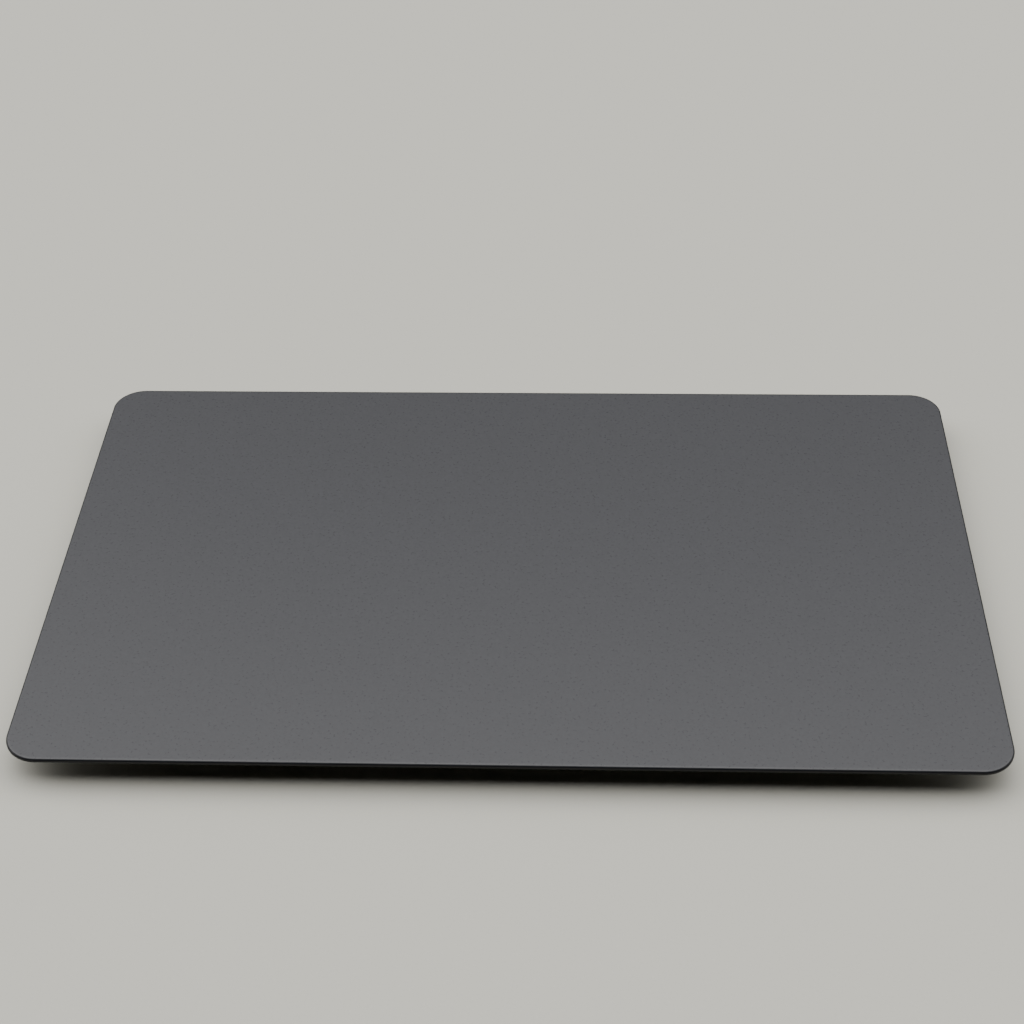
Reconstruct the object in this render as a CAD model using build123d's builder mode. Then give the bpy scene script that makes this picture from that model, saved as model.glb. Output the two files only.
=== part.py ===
from build123d import *
from math import radians, tan
import os

os.makedirs("parts", exist_ok=True)

# A laptop-class haptic trackpad module, lying on its mount frame.
# The origin is the centre of the footprint, on the surface that the frame rests on.
# +X points to the right, +Y away from the user and +Z up. Lengths are in millimetres.

# Touch surface: one sheet of etched glass
plate_width = 160.0
plate_depth = 99.5
plate_corner_radius = 5.6
glass_thickness = 0.75
glass_edge_chamfer = 0.12

# Sheets bonded under the glass, each set back from the edge of the glass
bond_thickness = 0.1
bond_inset = 0.6
board_thickness = 0.8
board_inset = 1.2
stiffener_thickness = 0.5
stiffener_inset = 3.2

# Travel of the plate, and the gaps that the travel needs
press_travel = 0.25
shift_travel = 0.2
stop_gap = 0.05
seat_gap = 0.02
cut_overrun = 5.0

# Mount frame: a pressed steel ladder that holds everything
frame_width = 136.0
frame_depth = 82.0
frame_corner_radius = 6.0
frame_thickness = 0.8
side_bar_width = 11.0
end_bar_width = 13.0
inner_bar_spacing = 72.0
inner_bar_width = 8.0
cross_bar_y = 9.0
cross_bar_width = 5.0
window_corner_radius = 2.5
lip_height = 1.0
lip_end_margin = 8.0
lip_bend_radius = 0.6
seat_rise = 0.6
seat_draft = 30.0
seat_wall_inset = 0.4
seat_corner_radius = 1.5

# Ears of the frame, with a pressed-in nut each
ear_spacing_x = 145.0
ear_spacing_y = 40.0
ear_radius = 4.0
ear_root_radius = 1.5
nut_bore_radius = 0.8
nut_shank_radius = 1.4
nut_body_radius = 2.3
nut_body_height = 1.4
nut_chamfer = 0.2

# Leaf springs, screwed to the frame at the root, with the load pad on the paddle
flexure_thickness = 0.4
flexure_root_length = 10.0
flexure_root_width = 10.6
flexure_neck_length = 7.0
flexure_neck_width = 6.0
flexure_paddle_length = 10.0
flexure_paddle_width = 10.0
flexure_corner_radius = 0.9
flexure_screw_spacing = 6.8

# Load pads and gel pads between the springs and the stiffener
load_pad_radius = 4.0
load_pad_height = 0.7
load_pad_chamfer = 0.25
rivet_radius = 1.2
rivet_foot_radius = 1.9
rivet_foot_height = 0.25
rivet_access_radius = 3.0
gel_pad_radius = 3.6
gel_pad_height = 0.75

# Foil strain gauges and their tails
gauge_thickness = 0.1
gauge_length = 4.0
gauge_width = 4.0
tail_width = 2.4
tail_bend_radius = 0.15
tail_foot_length = 1.8

# Flat flex that lies on the frame
flex_thickness = 0.12
flex_width = 2.4
flex_edge_margin = 0.6
flex_end_margin = 5.0

# Screws: a large and a small size
screw_head_radius = 1.4
screw_head_height = 0.45
screw_shank_radius = 0.7
screw_recess_radius = 0.75
screw_recess_depth = 0.25
screw_edge_chamfer = 0.12
screw_recess_sides = 6
small_head_radius = 1.1
small_shank_radius = 0.5
small_recess_radius = 0.55

# Haptic engine: an iron comb with a coil on each pole, in a joggled tray
tray_thickness = 0.5
tray_floor_gap = 0.15
tray_bend_radius = 0.3
tray_web_gap = 0.8
tray_ear_length = 4.0
tray_front_margin = 0.5
tray_back_margin = 1.3
engine_back_gap = 2.3
pole_count = 4
pole_pitch = 12.5
pole_width = 8.0
pole_length = 11.0
yoke_width = 5.2
core_thickness = 0.8
core_screw_inset = 1.4
bobbin_clearance = 0.05
bobbin_wall = 0.15
bobbin_flange = 0.25
bobbin_back_gap = 0.3
bobbin_front_gap = 0.8
coil_build = 0.4
coil_corner_radius = 0.35
coil_flex_thickness = 0.1
coil_flex_width = 1.6
coil_flex_inset = 1.0
coil_flex_reach = 5.0
coil_flex_bend_radius = 0.15
ear_screw_inset = 2.0
ear_screw_end_inset = 2.3

# Armature rail under the stiffener, across a small gap from the poles
pole_gap = 0.5
rail_length = 54.0
rail_leg_thickness = 1.5
rail_leg_height = 2.5
rail_flange_thickness = 0.8
rail_flange_width = 7.0
rail_bend_radius = 0.4
boss_count = 4
boss_pitch = 14.0
boss_radius = 1.35
boss_shank_radius = 1.05
boss_fit_gap = 0.15
boss_recess = 0.05
armature_head_overlap = 0.2

# Pressed beads on the wings of the stiffener
bead_length = 26.0
bead_width = 3.0
bead_depth = 0.35
bead_pitch = 10.0
bead_count = 4
bead_draft = 35.0
bead_wall_inset = 0.3
bead_edge_margin = 8.0

# Electronics on the underside of the board, in the window of the stiffener
window_width = 62.0
window_front_y = 12.4
window_back_y = 29.6
window_radius = 2.0
row_gap = 2.4
row_front_margin = 0.6
chip_chamfer = 0.15
touch_controller_side = 8.0
touch_controller_height = 0.85
system_controller_side = 7.0
system_controller_height = 0.8
force_amplifier_side = 5.0
force_amplifier_height = 0.75
haptic_driver_side = 4.0
haptic_driver_height = 0.75
accelerometer_side = 3.0
accelerometer_height = 0.9
clock_crystal_width = 2.5
clock_crystal_depth = 2.0
clock_crystal_height = 0.6
can_wall = 0.15
can_height = 1.15
can_depth = 10.0
can_margin = 0.8
can_corner_radius = 0.8
can_edge_radius = 0.2
can_vent_radius = 0.45
can_vent_pitch = 4.0
can_vent_columns = 4
can_vent_rows = 2
passive_length = 1.6
passive_width = 0.8
passive_height = 0.5
passive_pitch_x = 2.6
passive_pitch_y = 1.7
passive_columns = 4
passive_rows = 2
passive_edge_margin = 3.0

# Ribbon socket for the host's cable, with a flip latch
socket_width = 18.0
socket_depth = 3.6
socket_height = 1.0
socket_back_margin = 1.2
slot_width = 16.4
slot_height = 0.3
slot_depth = 2.6
slot_roof = 0.2
latch_length = 16.5
latch_thickness = 0.4
latch_reach = 1.5
latch_side_gap = 0.2
latch_round_gap = 0.1
latch_pin_radius = 0.12
latch_pin_length = 0.6
latch_pin_gap = 0.05
contact_count = 16
contact_pitch = 1.0
contact_width = 0.3
contact_length = 0.7
contact_thickness = 0.15

# Small socket for the module's own flex tail
flex_socket_width = 6.0
flex_socket_depth = 2.4
flex_socket_height = 0.9
flex_slot_height = 0.24
flex_slot_depth = 1.4
flex_slot_roof = 0.3
link_width = 5.0
link_loop_reach = 1.2

# Rubber stops that end the press
stop_radius = 2.5
stop_tip_radius = 1.8
stop_stem_radius = 1.0
stop_taper_height = 0.6

# Heights of the stack, from the frame up
seat_top = frame_thickness + seat_rise
flexure_top = seat_top + flexure_thickness
load_pad_top = flexure_top + load_pad_height
stiffener_bottom = load_pad_top + gel_pad_height
board_bottom = stiffener_bottom + stiffener_thickness
bond_bottom = board_bottom + board_thickness
glass_bottom = bond_bottom + bond_thickness
flex_top = frame_thickness + flex_thickness

# Places on the frame
inner_bar_x = inner_bar_spacing / 2
inner_bar_inner_x = inner_bar_x - inner_bar_width / 2
inner_bar_outer_x = inner_bar_x + inner_bar_width / 2
side_bar_inner_x = frame_width / 2 - side_bar_width
bay_end_y = frame_depth / 2 - end_bar_width
cross_bar_front_y = cross_bar_y - cross_bar_width / 2
cross_bar_back_y = cross_bar_y + cross_bar_width / 2
flex_x = inner_bar_outer_x - flex_edge_margin - flex_width / 2

# Places of the ears, and of the springs
ear_x = ear_spacing_x / 2
ear_y = ear_spacing_y / 2
flexure_y = frame_depth / 2 - end_bar_width / 2
root_x = inner_bar_outer_x + flexure_root_length / 2
root_screw_y = flexure_screw_spacing / 2
neck_x = inner_bar_outer_x + flexure_root_length + flexure_neck_length / 2
paddle_x = neck_x + flexure_neck_length / 2 + flexure_paddle_length / 2
corners = {"front_left": (-1, -1), "front_right": (1, -1), "back_left": (-1, 1), "back_right": (1, 1)}

# Places of the haptic engine
yoke_back_y = cross_bar_front_y - engine_back_gap
yoke_front_y = yoke_back_y - yoke_width
pole_face_y = yoke_front_y - pole_length
tray_top = tray_floor_gap + tray_thickness
tray_ear_top = frame_thickness + tray_thickness
tray_front_y = pole_face_y + tray_front_margin
tray_back_y = yoke_back_y + tray_back_margin
tray_depth = tray_back_y - tray_front_y
tray_y = (tray_front_y + tray_back_y) / 2
tray_web_x = inner_bar_inner_x - tray_web_gap - tray_thickness / 2
tray_ear_x = inner_bar_inner_x + tray_ear_length
core_bottom = tray_top + bobbin_clearance + bobbin_wall + coil_build
core_top = core_bottom + core_thickness
core_middle = core_bottom + core_thickness / 2
core_width = (pole_count - 1) * pole_pitch + pole_width
core_screw_y = yoke_back_y - core_screw_inset

# Places of the armature
rail_back_y = pole_face_y - pole_gap
rail_leg_front_y = rail_back_y - rail_leg_thickness
rail_front_y = rail_leg_front_y - rail_flange_width
rail_flange_bottom = stiffener_bottom - rail_flange_thickness
boss_y = rail_leg_front_y - rail_flange_width / 2


def export(piece, label):
    """Label a finished piece and write it to its own file."""
    piece.label = label
    export_step(piece, f"parts/{label}.step")


def four_corners(x, y):
    """The four places that lie that far to either side and end of the middle."""
    return [(side * x, end * y) for side, end in corners.values()]


def sheet(inset, thickness, bottom):
    """A flat sheet with the outline of the glass, set back from its edge by the inset."""
    with BuildPart() as piece:
        with BuildSketch(Plane.XY.offset(bottom)):
            RectangleRounded(plate_width - 2 * inset, plate_depth - 2 * inset, plate_corner_radius - inset)
        extrude(amount=thickness)
    return piece.part


def turned(*outline):
    """A piece turned about the vertical axis, from its outline of radius and height."""
    with BuildPart() as piece:
        with BuildSketch(Plane.XZ):
            with BuildLine():
                Polyline(*outline, close=True)
            make_face()
        revolve(axis=Axis.Z)
    return piece.part


def screw(seat, shank_length, head_radius, shank_radius, recess_radius):
    """A pan-head screw whose head bears on the seat plane and whose shank runs the other way."""
    with BuildPart() as piece:
        with BuildSketch(seat):
            Circle(head_radius)
        extrude(amount=screw_head_height)
        head_faces = piece.faces().filter_by(Plane.XY).sort_by(Axis(seat.origin, seat.z_dir))
        chamfer(head_faces[-1].edges(), screw_edge_chamfer)
        with BuildSketch(seat):
            Circle(shank_radius)
        extrude(amount=-shank_length)
        with BuildSketch(seat.offset(screw_head_height)):
            RegularPolygon(recess_radius, screw_recess_sides)
        extrude(amount=-screw_recess_depth, mode=Mode.SUBTRACT)
    return piece.part


def ribbon(width, thickness, bend_radius, plane, *points):
    """A strip of one thickness, bent along a path in the plane and extruded evenly to both sides."""
    with BuildPart() as piece:
        with BuildSketch(plane):
            with BuildLine():
                FilletPolyline(*points, radius=bend_radius)
            trace(line_width=thickness)
        extrude(amount=width / 2, both=True)
    return piece.part


# Cover glass, with its ground edge broken by a small chamfer at the top and at the bottom
with BuildPart() as cover_glass:
    add(sheet(0, glass_thickness, glass_bottom))
    chamfer(cover_glass.faces().filter_by(Plane.XY).edges(), glass_edge_chamfer)
export(cover_glass.part, "cover_glass")

with BuildPart() as glass_bond:
    add(sheet(bond_inset, bond_thickness, bond_bottom))
export(glass_bond.part, "glass_bond")

with BuildPart() as sensor_board:
    add(sheet(board_inset, board_thickness, board_bottom))
export(sensor_board.part, "sensor_board")

# Stiffener: a sheet with a window for the electronics, holes for the bosses and pressed beads
bead_x = plate_width / 2 - stiffener_inset - bead_edge_margin - bead_length / 2
window_y = (window_front_y + window_back_y) / 2
window_depth = window_back_y - window_front_y
with BuildPart() as stiffener_plate:
    add(sheet(stiffener_inset, stiffener_thickness, stiffener_bottom))
    with BuildSketch(Plane.XY.offset(stiffener_bottom)):
        with Locations((0, window_y)):
            RectangleRounded(window_width, window_depth, window_radius)
        with Locations((0, boss_y)):
            with GridLocations(boss_pitch, 0, boss_count, 1):
                Circle(boss_shank_radius + seat_gap)
    extrude(amount=cut_overrun, both=True, mode=Mode.SUBTRACT)
    with BuildSketch(Plane.XY.offset(stiffener_bottom)):
        with GridLocations(2 * bead_x, bead_pitch, 2, bead_count):
            SlotOverall(bead_length, bead_width)
    extrude(amount=-bead_depth, taper=bead_draft)
    with BuildSketch(Plane.XY.offset(board_bottom)):
        with GridLocations(2 * bead_x, bead_pitch, 2, bead_count):
            SlotOverall(bead_length - 2 * bead_wall_inset, bead_width - 2 * bead_wall_inset)
    extrude(amount=-bead_depth, taper=bead_draft, mode=Mode.SUBTRACT)
export(stiffener_plate.part, "stiffener_plate")

# Threaded bosses, pressed into the stiffener from below
boss = turned(
    (screw_shank_radius + seat_gap, rail_flange_bottom + boss_recess),
    (boss_radius, rail_flange_bottom + boss_recess),
    (boss_radius, stiffener_bottom),
    (boss_shank_radius, stiffener_bottom),
    (boss_shank_radius, board_bottom),
    (screw_shank_radius + seat_gap, board_bottom),
)
with BuildPart() as plate_bosses:
    with Locations((0, boss_y)):
        with GridLocations(boss_pitch, 0, boss_count, 1):
            add(boss)
export(plate_bosses.part, "plate_bosses")

# Armature rail: an angle whose leg faces the poles and whose flange is screwed under the stiffener
with BuildPart() as armature_rail:
    with BuildSketch(Plane.YZ):
        with BuildLine():
            Polyline(
                (rail_back_y, stiffener_bottom),
                (rail_front_y, stiffener_bottom),
                (rail_front_y, rail_flange_bottom),
                (rail_leg_front_y, rail_flange_bottom),
                (rail_leg_front_y, stiffener_bottom - rail_leg_height),
                (rail_back_y, stiffener_bottom - rail_leg_height),
                close=True,
            )
        make_face()
    extrude(amount=rail_length / 2, both=True)
    inner_corner = armature_rail.edges().filter_by(Axis.X).filter_by_position(
        Axis.Y, rail_leg_front_y - seat_gap, rail_leg_front_y + seat_gap
    )
    fillet(inner_corner.sort_by(Axis.Z)[-1], rail_bend_radius)
    with BuildSketch(Plane.XY.offset(rail_flange_bottom)):
        with Locations((0, boss_y)):
            with GridLocations(boss_pitch, 0, boss_count, 1):
                Circle(boss_radius + boss_fit_gap)
    extrude(amount=cut_overrun, mode=Mode.SUBTRACT)
export(armature_rail.part, "armature_rail")

armature_screw = screw(
    Plane((0, 0, rail_flange_bottom), x_dir=(1, 0, 0), z_dir=(0, 0, -1)),
    rail_flange_thickness + stiffener_thickness / 2,
    boss_radius + boss_fit_gap + armature_head_overlap,
    screw_shank_radius,
    screw_recess_radius,
)
with BuildPart() as armature_screws:
    with Locations((0, boss_y)):
        with GridLocations(boss_pitch, 0, boss_count, 1):
            add(armature_screw)
export(armature_screws.part, "armature_screws")

# The electronics stand in one row, with the shield can over the two controllers
can_width = touch_controller_side + system_controller_side + 3 * can_margin
row = {
    "flex_socket": flex_socket_width,
    "haptic_driver": haptic_driver_side,
    "force_amplifier": force_amplifier_side,
    "shield_can": can_width,
    "accelerometer": accelerometer_side,
    "clock_crystal": clock_crystal_width,
}
row_length = sum(row.values()) + (len(row) - 1) * row_gap
row_front_y = window_front_y + row_front_margin
row_x = {}
row_start = -row_length / 2
for name, width in row.items():
    row_x[name] = row_start + width / 2
    row_start += width + row_gap
can_x = row_x["shield_can"]
can_y = row_front_y + can_depth / 2
touch_controller_x = can_x - can_width / 2 + can_margin + touch_controller_side / 2
system_controller_x = can_x + can_width / 2 - can_margin - system_controller_side / 2


def chip(x, y, width, depth, height):
    """A moulded package under the board, with its free edges chamfered."""
    with BuildPart() as piece:
        with BuildSketch(Plane.XY.offset(board_bottom)):
            with Locations((x, y)):
                Rectangle(width, depth)
        extrude(amount=-height)
        chamfer(piece.faces().sort_by(Axis.Z)[0].edges(), chip_chamfer)
    return piece.part


square_chips = {
    "touch_controller": (touch_controller_x, can_y, touch_controller_side, touch_controller_height),
    "system_controller": (system_controller_x, can_y, system_controller_side, system_controller_height),
    "force_amplifier": (
        row_x["force_amplifier"],
        row_front_y + force_amplifier_side / 2,
        force_amplifier_side,
        force_amplifier_height,
    ),
    "haptic_driver": (
        row_x["haptic_driver"],
        row_front_y + haptic_driver_side / 2,
        haptic_driver_side,
        haptic_driver_height,
    ),
    "accelerometer": (
        row_x["accelerometer"],
        row_front_y + accelerometer_side / 2,
        accelerometer_side,
        accelerometer_height,
    ),
}
for name, (x, y, side, height) in square_chips.items():
    export(chip(x, y, side, side, height), name)

crystal_y = row_front_y + clock_crystal_depth / 2
export(
    chip(row_x["clock_crystal"], crystal_y, clock_crystal_width, clock_crystal_depth, clock_crystal_height),
    "clock_crystal",
)

# Passive components: two blocks, one at each end of the window, behind the small packages
passive_x = window_width / 2 - passive_edge_margin - (passive_columns - 1) * passive_pitch_x / 2
passive_y = window_back_y - passive_edge_margin - (passive_rows - 1) * passive_pitch_y / 2
with BuildPart() as passive_components:
    with BuildSketch(Plane.XY.offset(board_bottom)):
        with Locations((-passive_x, passive_y), (passive_x, passive_y)):
            with GridLocations(passive_pitch_x, passive_pitch_y, passive_columns, passive_rows):
                Rectangle(passive_length, passive_width)
    extrude(amount=-passive_height)
export(passive_components.part, "passive_components")

# Shield can: a drawn tray with its mouth on the board and vents in its floor
with BuildPart() as shield_can:
    with BuildSketch(Plane.XY.offset(board_bottom)):
        with Locations((can_x, can_y)):
            RectangleRounded(can_width, can_depth, can_corner_radius)
    extrude(amount=-can_height)
    fillet(shield_can.faces().sort_by(Axis.Z)[0].edges(), can_edge_radius)
    offset(amount=-can_wall, openings=shield_can.faces().sort_by(Axis.Z)[-1])
    with BuildSketch(Plane.XY.offset(board_bottom - can_height)):
        with Locations((can_x, can_y)):
            with GridLocations(can_vent_pitch, can_vent_pitch, can_vent_columns, can_vent_rows):
                Circle(can_vent_radius)
    extrude(amount=2 * can_wall, mode=Mode.SUBTRACT)
export(shield_can.part, "shield_can")

# Host socket: a housing open to the back, with a notch and two pin holes for its latch
socket_back_y = window_back_y - socket_back_margin
socket_y = socket_back_y - socket_depth / 2
socket_bottom = board_bottom - socket_height
slot_bottom = board_bottom - slot_roof - slot_height
latch_z = socket_bottom + (slot_bottom - socket_bottom) / 2
latch_y = socket_back_y - latch_reach + latch_round_gap
notch_front_y = latch_y - latch_thickness / 2 - latch_round_gap
notch_length = latch_length + 2 * latch_side_gap
with BuildPart() as host_socket:
    with BuildSketch(Plane.XY.offset(socket_bottom)):
        with Locations((0, socket_y)):
            Rectangle(socket_width, socket_depth)
    extrude(amount=socket_height)
    with BuildSketch(Plane.XZ.offset(-socket_back_y)):
        with Locations((0, slot_bottom + slot_height / 2)):
            Rectangle(slot_width, slot_height)
    extrude(amount=slot_depth, mode=Mode.SUBTRACT)
    with BuildSketch(Plane.YZ):
        with BuildLine():
            Polyline(
                (notch_front_y, socket_bottom),
                (socket_back_y, socket_bottom),
                (socket_back_y, slot_bottom),
                (notch_front_y, slot_bottom),
                close=True,
            )
        make_face()
    extrude(amount=notch_length / 2, both=True, mode=Mode.SUBTRACT)
    with BuildSketch(Plane.YZ):
        with Locations((latch_y, latch_z)):
            Circle(latch_pin_radius + latch_pin_gap)
    extrude(amount=latch_length / 2 + latch_pin_length + latch_pin_gap, both=True, mode=Mode.SUBTRACT)
export(host_socket.part, "host_socket")

# Latch: a bar that turns on two end pins, rounded about their axis
with BuildPart() as socket_latch:
    with BuildSketch(Plane.YZ):
        with Locations((latch_y, latch_z)):
            Circle(latch_thickness / 2)
        with Locations((latch_y + latch_reach / 2, latch_z)):
            Rectangle(latch_reach, latch_thickness)
    extrude(amount=latch_length / 2, both=True)
    with BuildSketch(Plane.YZ):
        with Locations((latch_y, latch_z)):
            Circle(latch_pin_radius)
    extrude(amount=latch_length / 2 + latch_pin_length, both=True)
export(socket_latch.part, "socket_latch")

with BuildPart() as socket_contacts:
    with BuildSketch(Plane.XY.offset(board_bottom)):
        with Locations((0, socket_y - socket_depth / 2 - contact_length / 2)):
            with GridLocations(contact_pitch, 0, contact_count, 1):
                Rectangle(contact_width, contact_length)
    extrude(amount=-contact_thickness)
export(socket_contacts.part, "socket_contacts")

# Flex socket: a small housing with its slot to the back
flex_socket_x = row_x["flex_socket"]
flex_socket_y = row_front_y + flex_socket_depth / 2
flex_socket_back_y = row_front_y + flex_socket_depth
flex_slot_z = board_bottom - flex_slot_roof - flex_slot_height / 2
with BuildPart() as flex_socket:
    with BuildSketch(Plane.XY.offset(board_bottom)):
        with Locations((flex_socket_x, flex_socket_y)):
            Rectangle(flex_socket_width, flex_socket_depth)
    extrude(amount=-flex_socket_height)
    with BuildSketch(Plane.XZ.offset(-flex_socket_back_y)):
        with Locations((flex_socket_x, flex_slot_z)):
            Rectangle(link_width + 2 * seat_gap, flex_slot_height)
    extrude(amount=flex_slot_depth, mode=Mode.SUBTRACT)
export(flex_socket.part, "flex_socket")

# Mount frame: a sheet with ears, windows and lips, and a raised seat under each spring
seat_spread = 2 * seat_rise * tan(radians(seat_draft))
lateral_window_x = (inner_bar_outer_x + side_bar_inner_x) / 2
lateral_window_width = side_bar_inner_x - inner_bar_outer_x
engine_bay_y = (cross_bar_front_y - bay_end_y) / 2
electronics_bay_y = (cross_bar_back_y + bay_end_y) / 2
ear_screw_x = tray_ear_x - ear_screw_inset
ear_screw_spacing_y = tray_depth - 2 * ear_screw_end_inset
stop_x = frame_width / 2 - side_bar_width / 2
stop_spacing_y = 2 * bead_pitch
lip_y = frame_depth / 2 - frame_thickness / 2
lip_length = frame_width - 2 * lip_end_margin
with BuildPart() as mount_frame:
    with BuildSketch() as outline:
        RectangleRounded(frame_width, frame_depth, frame_corner_radius)
        with Locations(*four_corners(ear_x, ear_y)):
            Circle(ear_radius)
        with Locations((0, -ear_y), (0, ear_y)):
            Rectangle(2 * ear_x, 2 * ear_radius)
        ear_roots = outline.vertices().filter_by(
            lambda corner: abs(abs(corner.X) - frame_width / 2) < seat_gap
            and abs(abs(corner.Y) - ear_y) < ear_radius + seat_gap
        )
        fillet(ear_roots, ear_root_radius)
        with Locations((-lateral_window_x, 0), (lateral_window_x, 0)):
            RectangleRounded(lateral_window_width, 2 * bay_end_y, window_corner_radius, mode=Mode.SUBTRACT)
        with Locations((0, engine_bay_y)):
            RectangleRounded(
                2 * inner_bar_inner_x,
                cross_bar_front_y + bay_end_y,
                window_corner_radius,
                mode=Mode.SUBTRACT,
            )
        with Locations((0, electronics_bay_y)):
            RectangleRounded(
                2 * inner_bar_inner_x,
                bay_end_y - cross_bar_back_y,
                window_corner_radius,
                mode=Mode.SUBTRACT,
            )
    extrude(amount=frame_thickness)
    with BuildSketch(Plane.XY.offset(frame_thickness)):
        with GridLocations(0, 2 * lip_y, 1, 2):
            Rectangle(lip_length, frame_thickness)
    extrude(amount=lip_height)
    bends = mount_frame.edges().filter_by(Axis.X).group_by(Axis.Z)[0].sort_by(Axis.Y)
    fillet([bends[0], bends[-1]], lip_bend_radius)
    with BuildSketch(Plane.XY.offset(frame_thickness)):
        with Locations(*four_corners(root_x, flexure_y)):
            RectangleRounded(
                flexure_root_length + seat_spread,
                flexure_root_width + seat_spread,
                seat_corner_radius,
            )
    extrude(amount=seat_rise, taper=seat_draft)
    with BuildSketch():
        with Locations(*four_corners(root_x, flexure_y)):
            RectangleRounded(
                flexure_root_length + seat_spread - 2 * seat_wall_inset,
                flexure_root_width + seat_spread - 2 * seat_wall_inset,
                seat_corner_radius,
            )
    extrude(amount=seat_rise, taper=seat_draft, mode=Mode.SUBTRACT)
    with BuildSketch():
        with Locations(*four_corners(ear_x, ear_y)):
            Circle(nut_shank_radius + seat_gap)
        with Locations(*four_corners(paddle_x, flexure_y)):
            Circle(rivet_access_radius)
        with GridLocations(2 * stop_x, stop_spacing_y, 2, 2):
            Circle(stop_stem_radius + seat_gap)
        with Locations((0, tray_y)):
            with GridLocations(2 * ear_screw_x, ear_screw_spacing_y, 2, 2):
                Circle(screw_shank_radius + seat_gap)
        with Locations(*four_corners(root_x, flexure_y)):
            with Locations((0, -root_screw_y), (0, root_screw_y)):
                Circle(screw_shank_radius + seat_gap)
    extrude(amount=cut_overrun, mode=Mode.SUBTRACT)
export(mount_frame.part, "mount_frame")

# Nuts, pressed into the ears from above and open at both ends
nut_top = frame_thickness + nut_body_height
nut = turned(
    (nut_bore_radius, 0),
    (nut_shank_radius, 0),
    (nut_shank_radius, frame_thickness),
    (nut_body_radius, frame_thickness),
    (nut_body_radius, nut_top - nut_chamfer),
    (nut_body_radius - nut_chamfer, nut_top),
    (nut_bore_radius, nut_top),
)
with BuildPart() as clinch_nuts:
    with Locations(*four_corners(ear_x, ear_y)):
        add(nut)
export(clinch_nuts.part, "clinch_nuts")

# Turned and moulded pieces that repeat at the four corners, each made once on the vertical axis
load_pad = turned(
    (0, seat_top - rivet_foot_height),
    (rivet_foot_radius, seat_top - rivet_foot_height),
    (rivet_foot_radius, seat_top),
    (rivet_radius, seat_top),
    (rivet_radius, flexure_top),
    (load_pad_radius, flexure_top),
    (load_pad_radius, load_pad_top - load_pad_chamfer),
    (load_pad_radius - load_pad_chamfer, load_pad_top),
    (0, load_pad_top),
)
gel_pad = turned(
    (0, load_pad_top),
    (gel_pad_radius, load_pad_top),
    (gel_pad_radius, stiffener_bottom),
    (0, stiffener_bottom),
)

for corner, (side, end) in corners.items():
    spring_y = end * flexure_y

    # Leaf spring: a wide root, a narrow neck that bends and a paddle
    with BuildPart() as flexure:
        with BuildSketch(Plane.XY.offset(seat_top)) as leaf:
            with Locations((side * root_x, spring_y)):
                Rectangle(flexure_root_length, flexure_root_width)
            with Locations((side * neck_x, spring_y)):
                Rectangle(flexure_neck_length, flexure_neck_width)
            with Locations((side * paddle_x, spring_y)):
                Rectangle(flexure_paddle_length, flexure_paddle_width)
            fillet(leaf.vertices(), flexure_corner_radius)
            with Locations((side * root_x, spring_y)):
                with Locations((0, -root_screw_y), (0, root_screw_y)):
                    Circle(screw_shank_radius + seat_gap, mode=Mode.SUBTRACT)
            with Locations((side * paddle_x, spring_y)):
                Circle(rivet_radius + seat_gap, mode=Mode.SUBTRACT)
        extrude(amount=flexure_thickness)
    export(flexure.part, f"flexure_{corner}")

    # Strain gauge: a foil patch on the neck, whose tail runs between the screws and steps down to the frame
    spring_plane = Plane((0, spring_y, 0), x_dir=(1, 0, 0), z_dir=(0, -1, 0))
    tail_z = flexure_top + gauge_thickness / 2
    tail_foot_z = flex_top + gauge_thickness / 2
    tail_drop_x = flex_x + flex_width / 2 - seat_gap - gauge_thickness
    with BuildPart() as strain_gauge:
        with BuildSketch(Plane.XY.offset(flexure_top)):
            with Locations((side * neck_x, spring_y)):
                Rectangle(gauge_length, gauge_width)
        extrude(amount=gauge_thickness)
        add(
            ribbon(
                tail_width,
                gauge_thickness,
                tail_bend_radius,
                spring_plane,
                (side * neck_x, tail_z),
                (side * tail_drop_x, tail_z),
                (side * tail_drop_x, tail_foot_z),
                (side * (tail_drop_x - tail_foot_length), tail_foot_z),
            )
        )
    export(strain_gauge.part, f"strain_gauge_{corner}")

    with BuildPart() as corner_load_pad:
        with Locations((side * paddle_x, spring_y)):
            add(load_pad)
    export(corner_load_pad.part, f"load_pad_{corner}")

    with BuildPart() as corner_gel_pad:
        with Locations((side * paddle_x, spring_y)):
            add(gel_pad)
    export(corner_gel_pad.part, f"gel_pad_{corner}")

# Screws of the springs' roots
root_screw = screw(
    Plane.XY.offset(flexure_top),
    flexure_thickness + frame_thickness,
    screw_head_radius,
    screw_shank_radius,
    screw_recess_radius,
)
with BuildPart() as flexure_screws:
    with Locations(*four_corners(root_x, flexure_y)):
        with Locations((0, -root_screw_y), (0, root_screw_y)):
            add(root_screw)
export(flexure_screws.part, "flexure_screws")

# Flex on the frame: a run along each inner bar, joined along the cross bar
with BuildPart() as frame_flex:
    with BuildSketch(Plane.XY.offset(frame_thickness)):
        with Locations((-flex_x, 0), (flex_x, 0)):
            Rectangle(flex_width, frame_depth - 2 * flex_end_margin)
        with Locations((0, cross_bar_y)):
            Rectangle(2 * flex_x, flex_width)
    extrude(amount=flex_thickness)
export(frame_flex.part, "frame_flex")

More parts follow.
